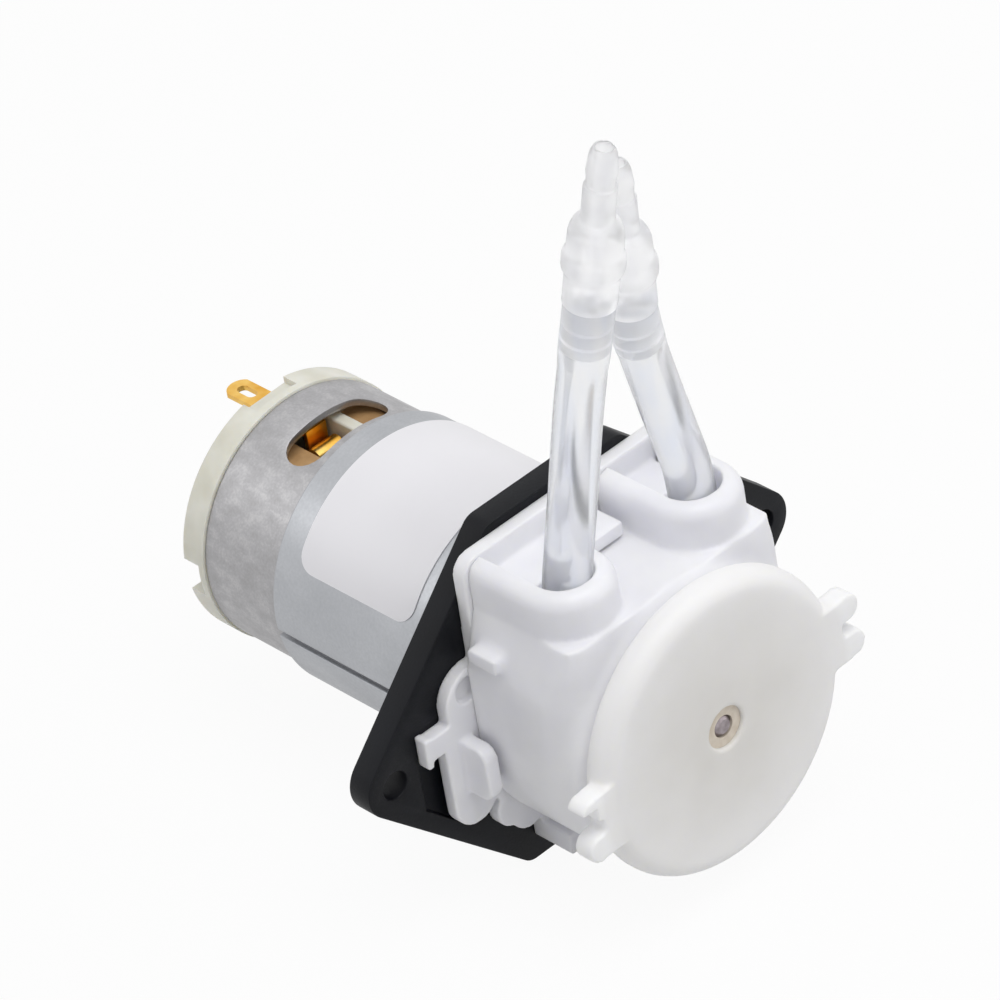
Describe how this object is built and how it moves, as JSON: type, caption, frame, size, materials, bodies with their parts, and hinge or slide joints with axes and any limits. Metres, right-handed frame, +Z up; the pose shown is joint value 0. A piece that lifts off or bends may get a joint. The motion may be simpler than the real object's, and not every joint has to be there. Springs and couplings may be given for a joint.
{
  "type": "dosing pump",
  "caption": "Small panel-mounted peristaltic dosing pump: DC motor, black diamond plate, white roller head and clear tubes with barbed connectors.",
  "frame": {"origin": "on the pump axis in the rear face of the mounting plate, midway between the two panel screw holes", "axes": "+Y along the pump axis towards the motor, so the head faces -Y; +Z up through the tube ports; +X to the right seen from the front"},
  "size_m": [0.0568, 0.0677, 0.0864],
  "materials": {
    "black_plastic": "satin",
    "can_steel": "satin zinc plating",
    "ring_steel": "satin zinc plating",
    "label_film": "satin film",
    "ivory_nylon": "moulded",
    "ferrite": "matt",
    "bronze": "sintered",
    "brass": "stamped",
    "carbon": "matt",
    "screw_steel": "plated",
    "shaft_steel": "ground",
    "laminations": "stamped",
    "copper": "enamelled",
    "head_white": "moulded",
    "cover_white": "moulded",
    "bush_nylon": "moulded",
    "cage_nylon": "moulded",
    "roller_nylon": "moulded",
    "silicone": "clear",
    "connector_plastic": "clear milky"
  },
  "bodies": {
    "base": {"mounting_plate": "black_plastic", "motor_can": "can_steel", "flux_ring": "ring_steel", "rating_label": "label_film", "end_cap": "ivory_nylon", "magnet_left": "ferrite", "magnet_right": "ferrite", "front_bearing": "bronze", "rear_bearing": "bronze", "terminal_top": "brass", "terminal_bottom": "brass", "brush_top": "carbon", "brush_bottom": "carbon", "brush_arm_top": "brass", "brush_arm_bottom": "brass", "motor_screw_left": "screw_steel", "motor_screw_right": "screw_steel", "head_base": "head_white", "head_housing": "head_white", "front_cover": "cover_white", "front_bush": "bush_nylon", "pump_tube": "silicone", "tube_leg_left": "silicone", "tube_leg_right": "silicone", "left_tube": "silicone", "right_tube": "silicone", "left_connector": "connector_plastic", "right_connector": "connector_plastic"},
    "rotor": {"motor_shaft": "shaft_steel", "armature_core": "laminations", "winding_1": "copper", "winding_2": "copper", "winding_3": "copper", "commutator": "copper"},
    "cage": {"cage_rear": "cage_nylon", "cage_front": "cage_nylon", "roller_pin_1": "shaft_steel", "roller_pin_2": "shaft_steel", "roller_pin_3": "shaft_steel"},
    "roller_a": {"roller_1": "roller_nylon"},
    "roller_b": {"roller_2": "roller_nylon"},
    "roller_c": {"roller_3": "roller_nylon"}
  },
  "joints": [
    {"name": "motor_spin", "type": "hinge", "parent": "base", "child": "rotor", "pos_m": [0, 0, 0], "axis": [0, 1, 0], "continuous": true},
    {"name": "cage_spin", "type": "hinge", "parent": "base", "child": "cage", "pos_m": [0, 0, 0], "axis": [0, 1, 0], "continuous": true},
    {"name": "roller_a_spin", "type": "hinge", "parent": "cage", "child": "roller_a", "pos_m": [0, 0, 0.0067], "axis": [0, 1, 0], "continuous": true},
    {"name": "roller_b_spin", "type": "hinge", "parent": "cage", "child": "roller_b", "pos_m": [0.0058, 0, -0.00335], "axis": [0, 1, 0], "continuous": true},
    {"name": "roller_c_spin", "type": "hinge", "parent": "cage", "child": "roller_c", "pos_m": [-0.0058, 0, -0.00335], "axis": [0, 1, 0], "continuous": true}
  ],
  "couplings": [
    {"joint": "cage_spin", "follows": "motor_spin", "ratio": 0.08614},
    {"joint": "roller_a_spin", "follows": "motor_spin", "ratio": -0.19108},
    {"joint": "roller_b_spin", "follows": "motor_spin", "ratio": -0.19108},
    {"joint": "roller_c_spin", "follows": "motor_spin", "ratio": -0.19108}
  ]
}
